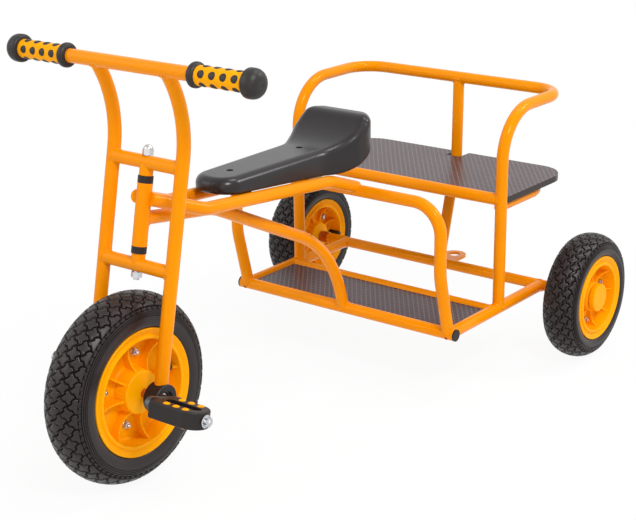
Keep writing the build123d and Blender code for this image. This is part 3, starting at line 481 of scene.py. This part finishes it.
# name, body, side, spindle
pedals = [("left", "left_pedal", 1, AXLE + CRANK), ("right", "right_pedal", -1, AXLE - CRANK)]
for name, body, side, spindle in pedals:
    upward = Vector((-math.sin(PEDAL_TILT), 0, math.cos(PEDAL_TILT)))
    across = Vector((math.cos(PEDAL_TILT), 0, math.sin(PEDAL_TILT)))
    bm = bmesh.new()
    for face in (1, -1):
        for row in (TREAD_OUT, -TREAD_OUT):
            for along in STUD_Y:
                at = spindle + upward * face * TREAD_UP + across * row + Vector((0, side * along, 0))
                spun(bm, [(0, 0.0024), (0.0022, 0.0022), (0.0042, 0.0015), (0.0056, 0.0005),
                          (0.0060, -0.0006), (0, -0.0006)], at, upward * face, 28)
    piece(f"pedal_studs_{name}", bm, orange_moulding, body)
nuts = bmesh.new()
for name, body, side, spindle in pedals:
    at, out = spindle + Vector((0, side * LOCK_NUT_Y, 0)), Vector((0, side, 0))
    spun(nuts, [(0, 0), (0.0102, 0), (0.0104, 0.0010), (0.0088, 0.0020), (0, 0.0020)], at, out, 30)
    spun(nuts, [(0, 0.0095), (0.0030, 0.0092), (0.0040, 0.0080), (0.0042, 0.0060), (0, 0.0060)], at, out)
    hexagon(nuts, 0.0146, 0.0072, at + out * 0.0003, out)
piece("pedal_lock_nuts", nuts, zinc, "front_wheel")

# Tyres: black pneumatic rubber, moulded with a lattice of stepped diamond blocks on the tread,
# square lugs at the shoulder, ribs round the top of the sidewall and a smooth sidewall down to the rim.
rubber = finish("moulded_tyre_rubber")
place = node(rubber, "TexCoord", {}).outputs["Object"]
# bloom over 35 mm, pores of 1.5 mm
bloom = node(rubber, "TexNoise", {"Vector": place, "Scale": 1 / 0.035, "Detail": 5.0})
pores = node(rubber, "TexNoise", {"Vector": place, "Scale": 1 / 0.0015, "Detail": 2.0})
carbon = node(rubber, "Mix", {
    "Factor": bloom.outputs[0], "A": linear("#1F1817"), "B": linear("#2B2322")}, data_type="RGBA")
worn = node(rubber, "MapRange", {"Value": bloom.outputs[0], "To Min": 0.3, "To Max": 0.42})
pitted = node(rubber, "Bump", {"Height": pores.outputs[0], "Strength": 0.12, "Distance": 0.0003})
tyre_skin = node(rubber, "BsdfPrincipled", {
    "Base Color": carbon.outputs["Result"], "Roughness": worn.outputs[0], "Normal": pitted.outputs[0],
    "Specular IOR Level": 0.36})
node(rubber, "OutputMaterial", {"Surface": tyre_skin.outputs[0]})
GROOVE = 0.0034
GROOVE_HALF = 0.0015
EASE = 0.0011
# ends of the lattice, the shoulder blocks and the lugs, in degrees round the section
EDGES = (53, 62, 71)
# the step in a block's edge, as a share of the blocks' pitch, and its four points along the edge
STEP = 0.052
STEP_AT = (0.12, 0.46, 0.54, 0.88)
# node, body, radius, half width, radius at the widest, rim flange radius, blocks round
tyres = [
    ("front_tyre", "front_wheel", 0.160, 0.0425, 0.127, 0.107, 36),
    ("rear_tyre_left", "left_rear_wheel", 0.122, 0.0355, 0.097, 0.082, 28),
    ("rear_tyre_right", "right_rear_wheel", 0.122, 0.0355, 0.097, 0.082, 28),
]
for name, body, radius, half, wide_r, flange, count in tyres:
    lo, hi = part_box(name)
    hub = (lo + hi) / 2
    rise = radius - wide_r
    quarter = (half + rise) / 2 * math.pi / 2
    pitch = 2 * math.pi * radius / count
    edge_at = [math.radians(a) / (math.pi / 2) * quarter for a in EDGES]
    row = edge_at[0] * 2 / 3
    # the pattern lies flat first: x round the tyre, y across it, z up from the groove floor
    bm = bmesh.new()
    bmesh.ops.create_grid(bm, x_segments=3, y_segments=3, size=0.5)
    bmesh.ops.scale(bm, vec=(3 * pitch, 3 * row, 1), verts=bm.verts)
    cells = list(bm.faces)
    lattice_edges = [e for e in bm.edges if not e.is_boundary]
    for side in (1, -1):
        run = [e for e in bm.edges if all(abs(v.co.y - side * edge_at[0]) < 1e-6 for v in e.verts)]
        lattice_edges += run
        for start, end in ((0, 1), (1, 2)):
            grown = bmesh.ops.extrude_edge_only(bm, edges=run)["geom"]
            verts = [g for g in grown if isinstance(g, bmesh.types.BMVert)]
            bmesh.ops.translate(bm, vec=(0, side * (edge_at[end] - edge_at[start]), 0), verts=verts)
            run = [g for g in grown if isinstance(g, bmesh.types.BMEdge) and all(v in verts for v in g.verts)]
    centres = bmesh.ops.poke(bm, faces=cells)["verts"]
    diagonals = once(e for v in centres for e in v.link_edges)
    bmesh.ops.dissolve_edges(bm, edges=lattice_edges, use_verts=False)
    plain = [f for f in bm.faces if all(abs(v.co.y) > edge_at[1] - 1e-6 for v in f.verts)]
    # four points on each diagonal make the step half way along the blocks' edges
    for e in diagonals:
        ends = sorted((v.co.copy() for v in e.verts), key=lambda p: p.y)
        run = ends[1] - ends[0]
        aside = Vector((run.y, -run.x, 0)).normalized() * STEP * pitch
        aside = aside if aside.x > 0 else -aside
        made = bmesh.ops.subdivide_edges(bm, edges=[e], cuts=4)["geom_inner"]
        added = sorted([g for g in made if isinstance(g, bmesh.types.BMVert)], key=lambda v: v.co.y)
        for v, along, sign in zip(added, STEP_AT, (1, 1, -1, -1)):
            v.co = ends[0] + run * along + aside * sign
    blocks = [f for f in bm.faces if f not in plain]
    # block walls, then the eased edge of each top
    for inset, lift in ((GROOVE_HALF, GROOVE - EASE / 2), (EASE, EASE / 2)):
        bmesh.ops.inset_individual(bm, faces=blocks, thickness=inset, use_even_offset=True)
        bmesh.ops.translate(bm, vec=(0, 0, lift), verts=once(v for f in blocks for v in f.verts))
    for step in range(-2, 3):
        cut = {"plane_co": (step * pitch / 4, 0, 0), "plane_no": (1, 0, 0), "dist": 1e-7}
        bmesh.ops.bisect_plane(bm, geom=bm.verts[:] + bm.edges[:] + bm.faces[:], clear_outer=step == 2,
                               clear_inner=step == -2, **cut)
    for step in range(-6, 7):
        cut = {"plane_co": (0, step * edge_at[1] / 7, 0), "plane_no": (0, 1, 0), "dist": 1e-7}
        bmesh.ops.bisect_plane(bm, geom=bm.verts[:] + bm.edges[:] + bm.faces[:], **cut)
    # every other quarter of the strip outside the blocks is a small square lug
    lugs = [f for f in bm.faces if abs(f.calc_center_median().y) > edge_at[1]
            and round(f.calc_center_median().x / pitch * 4 - 0.5) % 2 == 0]
    for inset, lift in ((EASE, GROOVE - EASE), (EASE / 2, EASE / 4)):
        bmesh.ops.inset_individual(bm, faces=lugs, thickness=inset, use_even_offset=True)
        bmesh.ops.translate(bm, vec=(0, 0, lift), verts=once(v for f in lugs for v in f.verts))
    # wrapped over the elliptical section and repeated round the wheel
    for v in bm.verts:
        lean = v.co.y / quarter * math.pi / 2
        out = Vector((math.cos(lean) / rise, math.sin(lean) / half)).normalized() * (v.co.z - GROOVE)
        reach = wide_r + rise * math.cos(lean) + out.x
        turn = v.co.x / radius
        v.co = hub + Vector((reach * math.sin(turn), half * math.sin(lean) + out.y, reach * math.cos(turn)))
    step = 2 * math.pi / count
    bmesh.ops.spin(bm, geom=bm.verts[:] + bm.edges[:] + bm.faces[:], cent=hub, axis=(0, 1, 0),
                   angle=step * (count - 1), steps=count - 1, use_duplicate=True)
    # sidewall, bead and inner face, from one shoulder to the other
    # lean round the section in degrees, height of the skin
    ribs = [(EDGES[2], -GROOVE), (72.5, -0.0011), (75, -0.0009), (76, -0.0022), (77.5, -0.0022),
            (78.5, -0.0007), (81, -0.0005), (82, -0.0018), (83.5, -0.0018), (84.5, -0.0004),
            (87, -0.0003), (88, -0.0014), (89, -0.0014), (90, -0.0002)]
    wall = []
    for degrees, lift in ribs:
        lean = math.radians(degrees)
        out = Vector((math.cos(lean) / rise, math.sin(lean) / half)).normalized() * lift
        wall.append((wide_r + rise * math.cos(lean) + out.x, half * math.sin(lean) + out.y))
    wall += [(wide_r - 0.006, half - 0.0002), (flange + 0.0080, half - 0.0008),
             (flange + 0.0040, half - 0.0018), (flange + 0.0016, half - 0.0030),
             (flange + 0.0004, half - 0.0046), (flange + 0.0004, half - 0.0075),
             (flange - 0.0118, half - 0.0078)]
    chain = wall + [(r, -y) for r, y in reversed(wall)]
    points = [bm.verts.new(hub + Vector((0, y, r))) for r, y in chain]
    lines = [bm.edges.new(pair) for pair in zip(points, points[1:])]
    bmesh.ops.spin(bm, geom=points + lines, cent=hub, axis=(0, 1, 0), angle=2 * math.pi, steps=count * 4,
                   use_merge=True)
    bmesh.ops.remove_doubles(bm, verts=bm.verts, dist=0.00003)
    bmesh.ops.recalc_face_normals(bm, faces=bm.faces)
    # the deep grooves can turn the whole skin inside out
    if bm.calc_volume(signed=True) < 0:
        bmesh.ops.reverse_faces(bm, faces=bm.faces)
    tyre = piece(f"{name}_block_tread", bm, rubber, body, 28)
    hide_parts(name)

# Camera: a long lens from the front left, a little above the saddle.
# Five soft boxes light a white studio, one of them from behind for the edges,
# over a floor that keeps the shadow.
camera = bpy.data.objects.new("studio_camera", bpy.data.cameras.new("studio_camera"))
bpy.context.scene.collection.objects.link(camera)
camera.data.lens = 85.54
camera.data.shift_x = 0.0187
camera.data.shift_y = 0.0011
forward = Vector((-0.745, -0.586, -0.318)).normalized()
right = forward.cross(Vector((0, 0, 1))).normalized()
up = right.cross(forward)
look = Matrix((right, up, -forward)).transposed().to_4x4()
roll = Matrix.Rotation(math.radians(-0.72), 4, "Z")
camera.matrix_world = Matrix.Translation((2.0293, 1.6219, 1.1266)) @ look @ roll
bpy.context.scene.camera = camera
bpy.context.scene.view_settings.view_transform = "Standard"

studio = bpy.data.worlds.new("white_studio")
studio.use_nodes = True
studio.node_tree.nodes.clear()
ray = node(studio, "LightPath", {})
seen = node(studio, "Math", {0: ray.outputs["Is Camera Ray"], 1: ray.outputs["Is Glossy Ray"]},
            operation="MAXIMUM")
seen = node(studio, "Math", {0: seen.outputs[0], 1: ray.outputs["Is Transmission Ray"]}, operation="MAXIMUM")
level = node(studio, "MapRange", {"Value": seen.outputs[0], "To Min": 0.54, "To Max": 1.0})
sky = node(studio, "Background", {"Color": linear("#FFFFFF"), "Strength": level.outputs[0]})
node(studio, "OutputWorld", {"Surface": sky.outputs[0]})
bpy.context.scene.world = studio

bm = bmesh.new()
bmesh.ops.create_grid(bm, x_segments=1, y_segments=1, size=12)
mesh = bpy.data.meshes.new("studio_floor")
bm.to_mesh(mesh)
bm.free()
floor = bpy.data.objects.new("studio_floor", mesh)
bpy.context.scene.collection.objects.link(floor)
floor_paint = finish("white_studio_floor")
ray = node(floor_paint, "LightPath", {})
seen = node(floor_paint, "Math", {0: ray.outputs["Is Camera Ray"], 1: ray.outputs["Is Glossy Ray"]},
            operation="MAXIMUM")
seen = node(floor_paint, "Math", {0: seen.outputs[0], 1: ray.outputs["Is Transmission Ray"]},
            operation="MAXIMUM")
spot = node(floor_paint, "TexCoord", {}).outputs["Object"]
away = node(floor_paint, "VectorMath", {0: spot}, operation="LENGTH")
# the floor near the wheels keeps the shadow, and it is plain white further off
white_out = node(floor_paint, "MapRange", {"Value": away.outputs["Value"], "From Min": 0.6, "From Max": 1.2,
                                           "To Min": 0.93, "To Max": 1.0})
share = node(floor_paint, "Math", {0: seen.outputs[0], 1: white_out.outputs[0]}, operation="MULTIPLY")
matt = node(floor_paint, "BsdfDiffuse", {"Color": linear("#F4F4F4")})
glow = node(floor_paint, "Emission", {"Color": linear("#FFFFFF"), "Strength": 1.0})
both = node(floor_paint, "MixShader", {0: share.outputs[0], 1: matt.outputs[0], 2: glow.outputs[0]})
node(floor_paint, "OutputMaterial", {"Surface": both.outputs[0]})
mesh.materials.append(floor_paint)
# name, place, size, watts
lamps = [
    ("key_soft_box", (1.3, 2.4, 3.0), 0.9, 62),
    ("top_soft_box", (-0.9, 0.7, 3.1), 0.8, 16),
    ("front_soft_box", (3.4, 1.9, 1.3), 2.0, 8),
    ("side_soft_box", (2.6, -1.8, 2.2), 2.4, 24),
    ("edge_soft_box", (-1.75, 1.65, 2.2), 0.7, 19),
]
for name, place, size, watts in lamps:
    lamp = bpy.data.lights.new(name, "AREA")
    lamp.size = size
    lamp.energy = watts
    box = bpy.data.objects.new(name, lamp)
    bpy.context.scene.collection.objects.link(box)
    box.visible_camera = False
    aim = (Vector((0, 0, 0.35)) - Vector(place)).to_track_quat("-Z", "Y")
    box.matrix_world = Matrix.Translation(place) @ aim.to_matrix().to_4x4()
